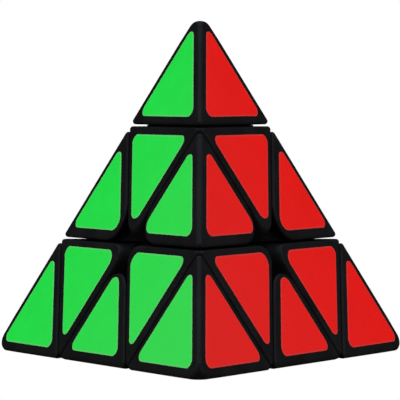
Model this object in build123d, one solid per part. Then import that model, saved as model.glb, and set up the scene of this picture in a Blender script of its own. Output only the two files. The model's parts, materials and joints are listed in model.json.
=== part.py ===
from build123d import *
from math import asin, cos, radians, sin, sqrt, tan
import os

# A pyramid twisty puzzle with four turning corners, standing on one face.
# Millimetres. The origin is the centre of the core, +Z goes up through the top corner,
# and the front corner points along -Y. "s" is a distance from the origin along a corner's axis.

# Outside
EDGE = 103.0  # edge of the sharp pyramid that the rounded puzzle fills
TIP_EDGE_ROUND = 0.85  # rounding of the pyramid's own edges on a tip
MIDDLE_EDGE_ROUND = 1.15  # and on an edge piece
CORNER_ROUND = 3.15  # the larger rounding of its four corners
CORNER_DEPTH = 6.8  # from a sharp corner to the centre of that rounding
CORNER_FLARE = 37.0  # half angle of the cone on which the corner runs out into the edges
PIECE_ROUND = 0.75  # rounding of every piece where it meets its neighbours
AXIAL_CENTRE_ROUND = 3.6  # large rounding of an axial's corners around the face centres
EDGE_CENTRE_ROUND = 6.7  # the same for an edge's corners
HALF_GAP = 0.22  # half of the gap between neighbouring pieces
TIP_DROP = 0.5  # how far a tip's cut lies below the third of the height

# Core and the ball joint around it
CORE_RADIUS = 9.4
INNER_RADIUS = 9.7  # inside of the hubs that slide round the core
SLIDE_RADIUS = 15.2  # the feet stay under this sphere and the shells stay above it
SLIDE_CLEARANCE = 0.15
FOOT_CUT = 5.7  # centre to the planes that bound the feet of one turning layer
HUB_CONE = 40.0  # half angle of an axial hub, which keeps it below that plane of the next layer
FOOT_HALF_LENGTH = 10.0
NECK_TOP = 20.0
POST_RADIUS = 3.0
POST_END = 15.7
POST_CLEARANCE = 0.25

# Screw, washer and spring in each axial's well
SCREW_RADIUS = 1.25
SCREW_START = 5.0
SCREW_BORE = 1.6
HEAD_RADIUS = 2.8
HEAD_HEIGHT = 2.2
HEAD_CHAMFER = 0.4
RECESS_WIDTH = 0.7
RECESS_LENGTH = 3.4
RECESS_DEPTH = 1.2
WASHER_RADIUS = 2.9
WASHER_THICKNESS = 0.5
SPRING_RADIUS = 2.25
SPRING_WIRE = 0.5
SPRING_PITCH = 0.95
FLOOR_BOTTOM = 16.0
FLOOR_TOP = 18.5
FLOOR_CLEARANCE = 0.1
SCREW_SHOULDER = 24.5

# Moulded shells
WALL = 2.0
HUB_PLATE = 2.6
WELL_RADIUS = 4.0
TUBE_RADIUS = 5.6
COLLAR_DEPTH = 3.3
COLLAR_RADIUS = 3.05

# Snap stem under each tip
STEM_RADIUS = 2.8
STEM_BULB = 3.5
STEM_NOSE = 2.5
BULB_PLAY = 0.2  # below the collar
BULB_SHOULDER = 0.7
BULB_LENGTH = 2.8
STEM_SLOT = 0.9
SLOT_TOP = 34.0
BOSS_RADIUS = 5.0
RIB_THICKNESS = 1.4

# Raised land on an axial, under the tip
LAND_HEIGHT = 0.38
LAND_INSET = 2.2
LAND_CORNER = 1.5

# Stickers: how far each side stands in from the border of its cell
STICKER_THICKNESS = 0.12
TIP_SIDE_INSET = 2.5
TIP_BASE_INSET = 1.85
AXIAL_TOP_INSET = 2.75
AXIAL_SIDE_INSET = 1.85
EDGE_OUTER_INSET = 2.75
EDGE_INNER_INSET = 2.9
STICKER_CORNER = 1.6
STICKER_CENTRE_CORNER = 2.5

# Worked out from the edge
FACE = EDGE * sqrt(6) / 12  # centre to face
DEEP_CUT = FACE / 3  # centre to the plane that parts a turning layer
SHALLOW_CUT = FACE * 5 / 3 - TIP_DROP  # centre to the plane that parts a tip
CELL_HEIGHT = EDGE / 3 * sqrt(3) / 2  # height of one of a face's nine triangles
CAVITY_TOP = SHALLOW_CUT - HALF_GAP - COLLAR_DEPTH
BULB_TOP = CAVITY_TOP - BULB_PLAY
ORIGIN = (0, 0, 0)
FAR = 3 * EDGE

CORNERS = ["top", "front", "left", "right"]
AXES = {"top": Vector(0, 0, 1)}
for corner, turn in (("front", -90), ("right", 30), ("left", 150)):
    AXES[corner] = Vector(sqrt(8) / 3 * cos(radians(turn)), sqrt(8) / 3 * sin(radians(turn)), -1 / 3)
UP = AXES["top"]
LOWER = [AXES[c] for c in CORNERS[1:]]
# Each face is named by its colour and lies opposite one corner.
FACE_COLOURS = {"right": "green", "left": "red", "front": "blue", "top": "yellow"}
EDGES = [(a, b) for i, a in enumerate(CORNERS) for b in CORNERS[i + 1:]]


def others(*names):
    return [c for c in CORNERS if c not in names]


def half_space(normal, distance):
    """Everything on the inner side of a plane."""
    block = Box(FAR, FAR, FAR, align=(Align.CENTER, Align.CENTER, Align.MAX))
    return Plane(origin=normal * distance, z_dir=normal) * block


def inside(planes):
    """The convex solid inside all of the planes, each given as (outward normal, distance)."""
    solid = half_space(*planes[0])
    for normal, distance in planes[1:]:
        solid &= half_space(normal, distance)
    return solid


def along(corner):
    """A frame at the origin with its z along the corner's axis and its x towards a neighbour."""
    axis, neighbour = AXES[corner], AXES[others(corner)[0]]
    return Plane(origin=ORIGIN, x_dir=neighbour - axis * neighbour.dot(axis), z_dir=axis)


def between(a, b):
    """A frame at the origin with its z towards the middle of an edge and its x along the edge."""
    return Plane(origin=ORIGIN, x_dir=AXES[a] - AXES[b], z_dir=AXES[a] + AXES[b])


def to_corner(shape, corner):
    """A piece made for the top corner, turned onto another corner's axis."""
    return along(corner).location * along("top").location.inverse() * shape


def to_edge(shape, a, b):
    """A piece made for the top front edge, turned onto another edge."""
    return between(a, b).location * between("top", "front").location.inverse() * shape


def column(radius, start, end):
    """A round bar on the top corner's axis."""
    return Pos(0, 0, start) * Cylinder(radius, end - start, align=(Align.CENTER, Align.CENTER, Align.MIN))


def hub_cone():
    """A cone about the top corner's axis with its apex at the centre."""
    height = 2 * SLIDE_RADIUS
    return Cone(0, height * tan(radians(HUB_CONE)), height, align=(Align.CENTER, Align.CENTER, Align.MIN))


def corner_cap(radius):
    """A ball in the top corner and the cone that it fades into below."""
    centre = 3 * FACE - CORNER_DEPTH
    flare = radians(CORNER_FLARE)
    touch = Vector(radius * cos(flare), centre + radius * sin(flare))
    foot = (touch.X + touch.Y * tan(flare), 0)
    sides = Polyline((0, centre + radius), (0, 0), foot, touch)
    ball = CenterArc((0, centre), radius, CORNER_FLARE, 90 - CORNER_FLARE)
    return revolve(Plane.XZ * make_face(sides + ball), Axis.Z)


def shrunk_pyramid(edge_round):
    """The pyramid with rounded edges, less PIECE_ROUND on every side, ready to be grown again."""
    sharp = inside([(-AXES[c], FACE - edge_round) for c in CORNERS])
    sharp &= corner_cap(CORNER_ROUND - edge_round)
    return offset(sharp, amount=edge_round - PIECE_ROUND, kind=Kind.ARC)


def grown(solid):
    """Grow a shrunk piece back to size, which rounds all its edges."""
    return offset(solid, amount=PIECE_ROUND, kind=Kind.ARC)


def tip_cover():
    """The outer form of a tip."""
    base = half_space(-UP, -(SHALLOW_CUT + HALF_GAP + PIECE_ROUND))
    return grown(shrunk_pyramid(TIP_EDGE_ROUND) & base)


def axial_block(inset, top):
    """An axial's form less inset on every side, rounded off at the face centres and open-ended below."""
    sides = [(axis, DEEP_CUT - HALF_GAP - inset) for axis in LOWER]
    block = inside(sides + [(UP, top - inset)])
    slanted = [e for e in block.edges() if abs(e.tangent_at(0.5).dot(UP)) > 0.1]
    block = fillet(slanted, AXIAL_CENTRE_ROUND - inset)
    return block & inside([(-axis, FACE - inset) for axis in LOWER])


def axial_cover():
    """The outer form of an axial: an octahedron with three corners rounded off at the face centres."""
    block = axial_block(PIECE_ROUND, SHALLOW_CUT - HALF_GAP)
    block &= half_space(-UP, -(DEEP_CUT + HALF_GAP + PIECE_ROUND))
    return grown(block) - Sphere(SLIDE_RADIUS + SLIDE_CLEARANCE)


def edge_cover():
    """The outer form of an edge: a small tetrahedron whose inner edge is rounded off."""
    cuts = [(-AXES[c], -(DEEP_CUT + HALF_GAP + PIECE_ROUND)) for c in ("top", "front")]
    faces = [(-AXES[c], FACE - PIECE_ROUND) for c in ("left", "right")]
    small = inside(cuts + faces)
    inner = small.edges().sort_by_distance(ORIGIN)[0]
    small = fillet(inner, EDGE_CENTRE_ROUND - PIECE_ROUND)
    return grown(small & shrunk_pyramid(MIDDLE_EDGE_ROUND))


def cavity():
    """The hollow of an axial, open at the bottom, where the hub closes it."""
    return axial_block(WALL, CAVITY_TOP + WALL)


def land():
    """The raised triangle on top of an axial, which the tip turns on."""
    bottom = SHALLOW_CUT - HALF_GAP
    inradius = (3 * FACE - bottom) * tan(asin(1 / 3)) - LAND_INSET
    outline = Rot(0, 0, -90) * RegularPolygon(inradius, 3, major_radius=False)
    outline = fillet(outline.vertices(), LAND_CORNER)
    return Pos(0, 0, bottom) * extrude(outline, amount=LAND_HEIGHT, dir=(0, 0, 1))


def axial_shell():
    """The visible part of an axial, with the collar that the tip's stem snaps through."""
    return axial_cover() + land() - cavity() - column(COLLAR_RADIUS, DEEP_CUT, EDGE)


def axial_hub():
    """The insert that closes an axial below: the hub round the post, the floor and the well."""
    plate = axial_cover() & cavity() & Sphere(SLIDE_RADIUS + HUB_PLATE)
    ball = hub_cone() & (Sphere(SLIDE_RADIUS + SLIDE_CLEARANCE) - Sphere(INNER_RADIUS))
    hub = plate + ball + column(TUBE_RADIUS, FLOOR_BOTTOM, CAVITY_TOP)
    hub -= column(WELL_RADIUS, FLOOR_TOP, EDGE)
    hub -= column(POST_RADIUS + POST_CLEARANCE, 0, FLOOR_BOTTOM)
    return hub - column(SCREW_BORE, 0, EDGE)


def edge_piece():
    """An edge with the neck and foot that the axials hold down."""
    middle = (AXES["top"] + AXES["front"]).normalized()
    across = (AXES["top"].cross(AXES["front"])).normalized()
    block = inside([(across, FOOT_HALF_LENGTH), (-across, FOOT_HALF_LENGTH), (middle, NECK_TOP)])
    foot = block & inside([(-AXES[c], -FOOT_CUT) for c in ("top", "front")])
    foot &= Sphere(SLIDE_RADIUS - SLIDE_CLEARANCE)
    neck = block & inside([(-AXES[c], -(DEEP_CUT + HALF_GAP)) for c in ("top", "front")])
    return edge_cover() + neck + foot


def snap_stem():
    """The stem under a tip: a bulb that snaps through the collar, slotted twice so that it can flex."""
    top, end = SHALLOW_CUT + WALL, BULB_TOP - BULB_LENGTH
    outline = Polyline((0, top), (STEM_RADIUS, top), (STEM_RADIUS, BULB_TOP),
                       (STEM_BULB, BULB_TOP - BULB_SHOULDER), (STEM_NOSE, end), (0, end), close=True)
    stem = revolve(make_face(Plane.XZ * outline), Axis.Z)
    for turn in (0, 90):
        slot = Box(EDGE, STEM_SLOT, SLOT_TOP, align=(Align.CENTER, Align.CENTER, Align.MIN))
        stem -= Rot(0, 0, turn) * slot
    return stem


def tip_piece():
    """A tip, hollow below, with a boss, three ribs and the snap stem."""
    hollow = inside([(-axis, FACE - WALL) for axis in LOWER] + [(UP, EDGE)])
    hollow -= column(BOSS_RADIUS, 0, EDGE)
    for turn in (0, 120, 240):
        rib = Box(EDGE, RIB_THICKNESS, FAR, align=(Align.MIN, Align.CENTER, Align.CENTER))
        hollow -= along("top") * Rot(0, 0, turn) * rib
    return tip_cover() - hollow + snap_stem()


def core():
    """The ball with its four posts, drilled for the screws."""
    body = Sphere(CORE_RADIUS)
    for corner in CORNERS:
        body += to_corner(column(POST_RADIUS, 0, POST_END), corner)
    for corner in CORNERS:
        body -= to_corner(column(SCREW_RADIUS, SCREW_START, POST_END + 1), corner)
    return body


def screw():
    """A pan head screw with a cross recess."""
    head = column(HEAD_RADIUS, SCREW_SHOULDER, SCREW_SHOULDER + HEAD_HEIGHT)
    head = chamfer(head.edges().sort_by(Axis.Z)[-1], HEAD_CHAMFER)
    for turn in (0, 90):
        bar = Box(RECESS_LENGTH, RECESS_WIDTH, RECESS_DEPTH, align=(Align.CENTER, Align.CENTER, Align.MAX))
        head -= Pos(0, 0, SCREW_SHOULDER + HEAD_HEIGHT) * Rot(0, 0, turn) * bar
    return head + column(SCREW_RADIUS, SCREW_START, SCREW_SHOULDER)


def washer():
    """The washer between the spring and the screw's head."""
    bottom = SCREW_SHOULDER - WASHER_THICKNESS
    return column(WASHER_RADIUS, bottom, SCREW_SHOULDER) - column(SCREW_RADIUS, bottom, SCREW_SHOULDER)


def spring():
    """The spring that presses an axial onto the core."""
    bottom = FLOOR_TOP + FLOOR_CLEARANCE + SPRING_WIRE / 2
    top = SCREW_SHOULDER - WASHER_THICKNESS - SPRING_WIRE / 2
    path = Helix(SPRING_PITCH, top - bottom, SPRING_RADIUS)
    section = Plane(origin=path @ 0, z_dir=path % 0) * Circle(SPRING_WIRE / 2)
    return Pos(0, 0, bottom) * sweep(section, path, is_frenet=True)


def cell_point(shares):
    """A point on a face, from how much each named corner of the pyramid counts."""
    return sum((AXES[c] * (3 * FACE * share) for c, share in shares.items()), Vector(0, 0, 0))


def sticker(points, insets, radii, face):
    """A rounded triangle on the face opposite the named corner.

    Each inset belongs to the side opposite its point, and each radius to the point itself.
    """
    parts = [inset / CELL_HEIGHT for inset in insets]
    plane = Plane(origin=-AXES[face] * FACE, x_dir=points[1] - points[0], z_dir=-AXES[face])
    flat = []
    for i in range(3):
        j, k = (i + 1) % 3, (i + 2) % 3
        point = points[i] * (1 - parts[j] - parts[k]) + points[j] * parts[j] + points[k] * parts[k]
        flat.append(plane.to_local_coords(point))
    outline = make_face(Polyline(*flat, close=True))
    for point, radius in zip(flat, radii):
        outline = fillet(outline.vertices().sort_by_distance(point)[0], radius)
    solid = extrude(outline, amount=STICKER_THICKNESS, dir=(0, 0, 1))
    return plane.location * solid


def corner_stickers(corner):
    """The three stickers of a tip and the three of its axial, by node name."""
    made = {}
    for face in others(corner):
        colour = FACE_COLOURS[face]
        a, b = others(corner, face)
        third_a = cell_point({corner: 2 / 3, a: 1 / 3})
        third_b = cell_point({corner: 2 / 3, b: 1 / 3})
        centre = cell_point({corner: 1 / 3, a: 1 / 3, b: 1 / 3})
        made[f"sticker_tip_{corner}_{colour}"] = sticker(
            [cell_point({corner: 1}), third_a, third_b], [TIP_BASE_INSET, TIP_SIDE_INSET, TIP_SIDE_INSET],
            [STICKER_CORNER] * 3, face)
        made[f"sticker_axial_{corner}_{colour}"] = sticker(
            [centre, third_a, third_b], [AXIAL_TOP_INSET, AXIAL_SIDE_INSET, AXIAL_SIDE_INSET],
            [STICKER_CENTRE_CORNER, STICKER_CORNER, STICKER_CORNER], face)
    return made


def edge_stickers(a, b):
    """The two stickers of an edge, by node name."""
    made = {}
    for face in others(a, b):
        third = others(a, b, face)[0]
        centre = cell_point({a: 1 / 3, b: 1 / 3, third: 1 / 3})
        points = [centre, cell_point({a: 2 / 3, b: 1 / 3}), cell_point({a: 1 / 3, b: 2 / 3})]
        made[f"sticker_edge_{a}_{b}_{FACE_COLOURS[face]}"] = sticker(
            points, [EDGE_OUTER_INSET, EDGE_INNER_INSET, EDGE_INNER_INSET],
            [STICKER_CENTRE_CORNER, STICKER_CORNER, STICKER_CORNER], face)
    return made


def model():
    """Every node of the puzzle, by name."""
    nodes = {"core": core()}
    for name, shape in (("screws", screw()), ("washers", washer()), ("springs", spring())):
        nodes[name] = Compound(children=[to_corner(shape, c) for c in CORNERS])
    shell, hub, tip, edge = axial_shell(), axial_hub(), tip_piece(), edge_piece()
    for corner in CORNERS:
        nodes[f"axial_shell_{corner}"] = to_corner(shell, corner)
        nodes[f"axial_hub_{corner}"] = to_corner(hub, corner)
        nodes[f"tip_{corner}"] = to_corner(tip, corner)
        nodes.update(corner_stickers(corner))
    for a, b in EDGES:
        nodes[f"edge_{a}_{b}"] = to_edge(edge, a, b)
        nodes.update(edge_stickers(a, b))
    return nodes


os.makedirs("parts", exist_ok=True)
for name, shape in model().items():
    export_step(shape, f"parts/{name}.step")
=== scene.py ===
import json
from math import cos, radians, sin, sqrt

import bpy
import bmesh
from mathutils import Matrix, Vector


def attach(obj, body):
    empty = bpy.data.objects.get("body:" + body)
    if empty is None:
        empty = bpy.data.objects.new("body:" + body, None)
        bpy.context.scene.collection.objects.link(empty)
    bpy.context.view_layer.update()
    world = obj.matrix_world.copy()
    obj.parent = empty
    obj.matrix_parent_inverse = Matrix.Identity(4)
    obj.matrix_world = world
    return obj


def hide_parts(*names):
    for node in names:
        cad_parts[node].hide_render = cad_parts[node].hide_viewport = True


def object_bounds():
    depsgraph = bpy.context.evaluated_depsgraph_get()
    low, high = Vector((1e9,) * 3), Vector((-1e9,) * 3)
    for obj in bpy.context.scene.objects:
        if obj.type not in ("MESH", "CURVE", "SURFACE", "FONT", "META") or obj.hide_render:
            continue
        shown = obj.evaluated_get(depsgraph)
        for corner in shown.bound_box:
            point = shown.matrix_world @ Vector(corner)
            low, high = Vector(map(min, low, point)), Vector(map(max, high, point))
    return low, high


# A pyramid twisty puzzle on a pale floor. Metres; the origin is the centre of the core.
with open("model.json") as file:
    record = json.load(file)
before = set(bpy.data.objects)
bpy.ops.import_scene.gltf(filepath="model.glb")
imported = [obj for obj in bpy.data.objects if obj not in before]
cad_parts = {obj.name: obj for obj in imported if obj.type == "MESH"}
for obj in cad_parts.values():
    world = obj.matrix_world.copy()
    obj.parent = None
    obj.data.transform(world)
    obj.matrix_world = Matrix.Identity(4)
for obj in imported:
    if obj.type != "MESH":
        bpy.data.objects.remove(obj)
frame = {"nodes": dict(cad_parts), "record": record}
CAD_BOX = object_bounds()
NODES = frame["nodes"]
LOW, HIGH = Vector(CAD_BOX[0]), Vector(CAD_BOX[1])
HEIGHT = HIGH.z - LOW.z
MM = 0.001

# Camera: level with the puzzle's middle and a long way off, looking at the front edge.
CAMERA_AZIMUTH = 0.3
CAMERA_ELEVATION = 3.24
CAMERA_DISTANCE = 9.743 * HEIGHT
CAMERA_LENS = 297.0
AIM_HEIGHT = 0.2098 * HEIGHT  # above the core's centre

FLOOR_RADIUS = 40 * HEIGHT
FLOOR_CLEARANCE = 20 * MM  # a corner turned part way reaches this far below the puzzle's base

# Softboxes: one beside each face that stands up
SOFTBOX_DISTANCE = 1.1
SOFTBOX_SIZE = 0.9
SOFTBOX_POWER = 16.3
SOFTBOX_ELEVATION = 16
SOFTBOX_AZIMUTHS = {"softbox_left": -58, "softbox_right": 58, "softbox_back": 180}
# The dim surroundings that the puzzle mirrors: (sine of the elevation, colour)
TENT = [
    (0.0, (0.012, 0.012, 0.012)),
    (0.55, (0.012, 0.012, 0.012)),
    (0.9, (0.22, 0.23, 0.30)),
    (1.0, (0.26, 0.26, 0.31)),
]

# Directions from the core to the four corners
AXES = {"top": Vector((0, 0, 1))}
for corner, turn in (("front", -90), ("right", 30), ("left", 150)):
    AXES[corner] = Vector((cos(radians(turn)) * sqrt(8) / 3, sin(radians(turn)) * sqrt(8) / 3, -1 / 3))
EDGE = 103 * MM  # of the pyramid, before its corners are rounded
FACE = EDGE * sqrt(6) / 12  # from the core's centre to a face

# Colours as linear light, and for each film the corner opposite its face
BLACK = (0.0060, 0.0062, 0.0066)
INNER_PAINTED_SHADE = 0.35  # how much of the black is left on inner walls, as painted shade in the hole
INNER_DEPTH = 1.3 * MM  # below a face, where the painted shade on walls is full
OUTER_DEPTH = 0.4 * MM  # and where the painted shade starts
INNER_DULLNESS = 0.22  # added to their roughness
VINYLS = {
    "green": ((0.014, 0.66, 0.057), "right"),
    "red": ((0.69, 0.0095, 0.0075), "left"),
    "blue": ((0.008, 0.055, 0.60), "front"),
    "yellow": ((0.85, 0.62, 0.008), "top"),
}

# The rim of a sticker: pressed down and paler, partly the film's pale cut edge and partly a painted
# highlight
RIM_WIDTH = 0.35 * MM
RIM_DROP = 0.05 * MM
RIM_GREYED = (0.76, 0.15)
FLOOR_SHEEN_GREYED = (0.90, 0.05)  # the same for a painted reflection of the pale floor, strongest towards the front corner


# ---------------------------------------------------------------- material helpers

class Shader:
    """A new material with its principled shader and short calls for adding nodes."""

    def __init__(self, name):
        self.material = bpy.data.materials.new(name)
        self.material.use_nodes = True
        self.tree = self.material.node_tree
        self.main = self.tree.nodes["Principled BSDF"]
        where = self.tree.nodes.new("ShaderNodeTexCoord")
        self.coordinates = where.outputs["Object"]

    def node(self, kind, inputs=None, **settings):
        made = self.tree.nodes.new(kind)
        for key, value in settings.items():
            setattr(made, key, value)
        for key, value in (inputs or {}).items():
            if hasattr(value, "is_output"):
                self.tree.links.new(value, made.inputs[key])
            else:
                made.inputs[key].default_value = value
        return made

    def noise(self, size, detail=3.0, roughness=0.5, stretch=None):
        """Noise whose features are about size metres across."""
        where = self.coordinates
        if stretch:
            settings = {"Vector": where, "Rotation": stretch[0], "Scale": stretch[1]}
            where = self.node("ShaderNodeMapping", settings).outputs["Vector"]
        settings = {"Vector": where, "Scale": 1 / size, "Detail": detail, "Roughness": roughness}
        return self.node("ShaderNodeTexNoise", settings).outputs["Fac"]

    def ramp(self, value, low, high, start=0.0, end=1.0):
        """Maps value from start..end to low..high, held at both ends."""
        settings = {"Value": value, "From Min": start, "From Max": end, "To Min": low, "To Max": high}
        return self.node("ShaderNodeMapRange", settings).outputs["Result"]

    def dot(self, value, direction):
        """How far a vector reaches along a direction."""
        made = self.node("ShaderNodeVectorMath", {0: value, 1: direction}, operation="DOT_PRODUCT")
        return made.outputs["Value"]

    def total(self, first, second):
        return self.node("ShaderNodeMath", {0: first, 1: second}, operation="ADD").outputs["Value"]

    def highest(self, first, second):
        return self.node("ShaderNodeMath", {0: first, 1: second}, operation="MAXIMUM").outputs["Value"]

    def blend(self, share, first, second):
        """A colour between two colours."""
        made = self.node("ShaderNodeMix", data_type="RGBA")
        for socket, value in (("Factor", share), ("A", first), ("B", second)):
            target = [s for s in made.inputs if s.name == socket and s.enabled][0]
            if hasattr(value, "is_output"):
                self.tree.links.new(value, target)
            else:
                target.default_value = (*value, 1.0)
        return [s for s in made.outputs if s.enabled][0]

    def bump(self, height, distance, strength=1.0, after=None):
        settings = {"Height": height, "Distance": distance, "Strength": strength}
        if after:
            settings["Normal"] = after
        return self.node("ShaderNodeBump", settings).outputs["Normal"]

    def set(self, **values):
        """Sets or links the principled shader's sockets; names use _ for a space."""
        for key, value in values.items():
            socket = self.main.inputs[key.replace("_", " ")]
            if hasattr(value, "is_output"):
                self.tree.links.new(value, socket)
            else:
                socket.default_value = value


def shade(colour, factor):
    return tuple(c * factor for c in colour)


def greyed(colour, kept, grey):
    """A duller colour: a share of it is kept, and a share of its own lightness is added as grey."""
    lightness = 0.21 * colour[0] + 0.72 * colour[1] + 0.07 * colour[2]
    return tuple(kept * c + grey * lightness for c in colour)


def plastic(name, colour, roughness):
    """Moulded plastic: spark texture, faint flow marks, rubbed patches, and dull inner walls darkened by
    painted shade.
    """
    s = Shader(name)
    flow = s.noise(9 * MM, detail=2.0)
    grain = s.noise(0.22 * MM, detail=2.0)
    rubbed = s.noise(3.5 * MM, detail=5.0, roughness=0.65)
    reach = [s.dot(s.coordinates, -axis) for axis in AXES.values()]
    outer = s.highest(s.highest(reach[0], reach[1]), s.highest(reach[2], reach[3]))
    # A mask that is 1 on the faces and 0 on walls deep in the hole; it drives the painted shade on those
    # walls and their dullness
    unshaded_polished = s.ramp(outer, 0, 1, FACE - INNER_DEPTH, FACE - OUTER_DEPTH)
    tone = s.blend(s.ramp(flow, 0, 1, 0.35, 0.65), shade(colour, 0.8), shade(colour, 1.25))
    # Painted shade: the base colour on inner walls is darkened, standing in for the shade deep in the hole
    s.set(Base_Color=s.blend(unshaded_polished, shade(colour, INNER_PAINTED_SHADE), tone))
    worn = s.ramp(rubbed, roughness - 0.07, roughness + 0.09, 0.3, 0.7)
    s.set(Roughness=s.total(worn, s.ramp(unshaded_polished, INNER_DULLNESS, 0.0)))
    s.set(Normal=s.bump(grain, 0.012 * MM, after=s.bump(flow, 0.02 * MM)))
    s.set(Specular_IOR_Level=0.5)
    return s.material


def vinyl(name, colour):
    """Vinyl film: faint mottle and orange peel, soft scuffs, and a painted reflection of the pale floor that
    makes it a little paler towards the front corner.
    """
    s = Shader(name)
    mottle = s.noise(6 * MM, detail=4.0)
    peel = s.noise(0.55 * MM, detail=2.0)
    haze = s.noise(2.2 * MM, detail=4.0, roughness=0.6)
    scuffs = s.noise(1.0 * MM, detail=1.0, stretch=((0.3, 0.5, 0.9), (0.05, 1.6, 1.6)))
    film = s.blend(s.ramp(mottle, 0, 1, 0.3, 0.7), shade(colour, 0.97), shade(colour, 1.03))
    # Painted reflection: the film is greyed towards the front corner, low down, as if it mirrored the pale
    # floor there
    floor_sheen = s.ramp(s.dot(s.coordinates, AXES["front"]), 0, 1, -20 * MM, 50 * MM)
    s.set(Base_Color=s.blend(floor_sheen, film, greyed(colour, *FLOOR_SHEEN_GREYED)))
    s.set(Roughness=s.ramp(s.total(haze, scuffs), 0.38, 0.52, 0.75, 1.3))
    s.set(Normal=s.bump(peel, 0.008 * MM))
    s.set(Specular_IOR_Level=0.3)
    return s.material


def zinc_steel(name):
    """Zinc-plated steel with faint turning marks."""
    s = Shader(name)
    marks = s.noise(0.5 * MM, detail=4.0)
    s.set(Base_Color=s.blend(s.ramp(marks, 0, 1, 0.3, 0.7), (0.45, 0.45, 0.47), (0.66, 0.66, 0.68)))
    s.set(Metallic=1.0, Roughness=s.ramp(marks, 0.22, 0.4, 0.3, 0.7))
    s.set(Normal=s.bump(marks, 0.006 * MM))
    return s.material


MATERIALS = {
    "black_plastic": plastic("black_plastic", BLACK, 0.40),
    "core_plastic": plastic("core_plastic", (0.02, 0.02, 0.023), 0.5),
    "steel": zinc_steel("zinc_steel"),
}
for colour, (light, corner) in VINYLS.items():
    MATERIALS[colour + "_vinyl"] = vinyl(colour + "_vinyl", light)
    # Rim: a paler, greyed film colour, partly the pale cut edge and partly a painted highlight
    MATERIALS[colour + "_rim"] = vinyl(colour + "_rim", greyed(light, *RIM_GREYED))
SLOTS = {part["node"]: part["material_slot"] for part in frame["record"]["subparts"]}
BODIES = {node: body for body, nodes in frame["record"]["behaviour"]["bodies"].items() for node in nodes}


# ---------------------------------------------------------------- pieces

def dress(node):
    """Gives a CAD node its finished material."""
    obj = NODES[node]
    obj.data.materials.clear()
    obj.data.materials.append(MATERIALS[SLOTS[node]])


def film(node):
    """The sticker that stands for a CAD one: its rim is pressed down a little and paler, partly the film's
    pale cut edge and partly a painted highlight.
    """
    colour = node.rsplit("_", 1)[1]
    outward = -AXES[VINYLS[colour][1]]
    build = bmesh.new()
    build.from_mesh(NODES[node].data)
    bmesh.ops.remove_doubles(build, verts=build.verts, dist=0.001 * MM)
    bmesh.ops.dissolve_limit(build, angle_limit=radians(1), verts=build.verts, edges=build.edges)
    top = max(build.faces, key=lambda face: face.calc_center_median().dot(outward))
    ring = bmesh.ops.inset_region(build, faces=[top], thickness=RIM_WIDTH, use_even_offset=True)["faces"]
    inner = set(top.verts)
    for vertex in {v for face in ring for v in face.verts} - inner:
        vertex.co -= outward * RIM_DROP
    for face in build.faces:
        face.material_index = 0 if face is top else 1
        face.smooth = False
    mesh = bpy.data.meshes.new("film" + node.removeprefix("sticker"))
    build.to_mesh(mesh)
    build.free()
    mesh.materials.append(MATERIALS[SLOTS[node]])
    mesh.materials.append(MATERIALS[colour + "_rim"])
    obj = bpy.data.objects.new(mesh.name, mesh)
    bpy.context.scene.collection.objects.link(obj)
    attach(obj, BODIES[node])
    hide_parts(node)


for node in NODES:
    if node.startswith("sticker"):
        film(node)
    else:
        dress(node)


# ---------------------------------------------------------------- stage, light, camera

def floor():
    """A round pale floor, low enough for a turned corner to clear it. Only the camera sees it,
    so that it doesn't mirror in the black plastic."""
    mesh = bpy.data.meshes.new("floor")
    build = bmesh.new()
    bmesh.ops.create_circle(build, cap_ends=True, segments=96, radius=FLOOR_RADIUS)
    bmesh.ops.translate(build, verts=build.verts, vec=(0, 0, LOW.z - FLOOR_CLEARANCE))
    build.to_mesh(mesh)
    build.free()
    obj = bpy.data.objects.new("floor", mesh)
    bpy.context.scene.collection.objects.link(obj)
    s = Shader("pale_floor")
    s.set(Base_Color=(0.0, 0.0, 0.0, 1.0), Roughness=0.9, Specular_IOR_Level=0.0)
    s.set(Emission_Color=(1.0, 1.0, 1.0, 1.0), Emission_Strength=1.0)
    mesh.materials.append(s.material)
    obj.visible_diffuse = False
    obj.visible_glossy = False


def direction(azimuth, elevation):
    """From the core outwards, in degrees; azimuth 0 is the camera's side and grows towards +X."""
    a, e = radians(azimuth), radians(elevation)
    return Vector((sin(a) * cos(e), -cos(a) * cos(e), sin(e)))


def facing(vector):
    """The rotation of a light or camera that looks along a vector."""
    return vector.to_track_quat("-Z", "Y").to_euler()


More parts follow.
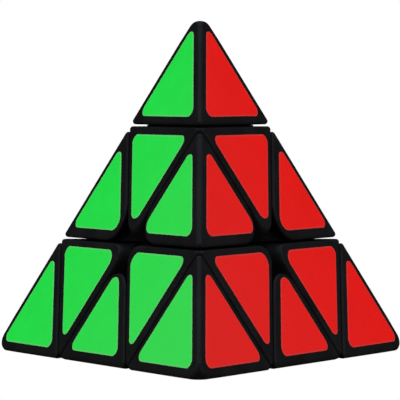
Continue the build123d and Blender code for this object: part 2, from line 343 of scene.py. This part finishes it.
def softbox(name, azimuth):
    """A square area light that looks at the puzzle's middle and isn't mirrored in it."""
    light = bpy.data.lights.new(name, "AREA")
    light.size = SOFTBOX_SIZE
    light.energy = SOFTBOX_POWER
    obj = bpy.data.objects.new(name, light)
    bpy.context.scene.collection.objects.link(obj)
    obj.location = direction(azimuth, SOFTBOX_ELEVATION) * SOFTBOX_DISTANCE
    obj.rotation_euler = facing(-obj.location)
    obj.visible_glossy = False


def sky():
    """White to the camera; to everything else a dim tent that is brighter overhead."""
    world = bpy.data.worlds.new("studio")
    bpy.context.scene.world = world
    world.use_nodes = True
    nodes, links = world.node_tree.nodes, world.node_tree.links
    where = nodes.new("ShaderNodeTexCoord")
    parts = nodes.new("ShaderNodeSeparateXYZ")
    tent = nodes.new("ShaderNodeValToRGB")
    path = nodes.new("ShaderNodeLightPath")
    seen = nodes.new("ShaderNodeMix")
    seen.data_type = "RGBA"
    stops = tent.color_ramp.elements
    stops[0].position, stops[0].color = TENT[0][0], (*TENT[0][1], 1.0)
    stops[1].position, stops[1].color = TENT[-1][0], (*TENT[-1][1], 1.0)
    for position, colour in TENT[1:-1]:
        stops.new(position).color = (*colour, 1.0)
    links.new(where.outputs["Generated"], parts.inputs["Vector"])
    links.new(parts.outputs["Z"], tent.inputs["Fac"])
    links.new(path.outputs["Is Camera Ray"], seen.inputs[0])
    links.new(tent.outputs["Color"], seen.inputs[6])
    seen.inputs[7].default_value = (1.0, 1.0, 1.0, 1.0)
    links.new(seen.outputs[2], nodes["Background"].inputs["Color"])


def camera():
    data = bpy.data.cameras.new("camera")
    obj = bpy.data.objects.new("camera", data)
    bpy.context.scene.collection.objects.link(obj)
    obj.location = direction(CAMERA_AZIMUTH, CAMERA_ELEVATION) * CAMERA_DISTANCE
    obj.rotation_euler = facing(Vector((0, 0, AIM_HEIGHT)) - obj.location)
    data.sensor_width = 36.0
    data.lens = CAMERA_LENS
    data.clip_end = 100.0
    bpy.context.scene.camera = obj


floor()
for name, azimuth in SOFTBOX_AZIMUTHS.items():
    softbox(name, azimuth)
sky()
camera()
bpy.context.scene.view_settings.view_transform = "Standard"
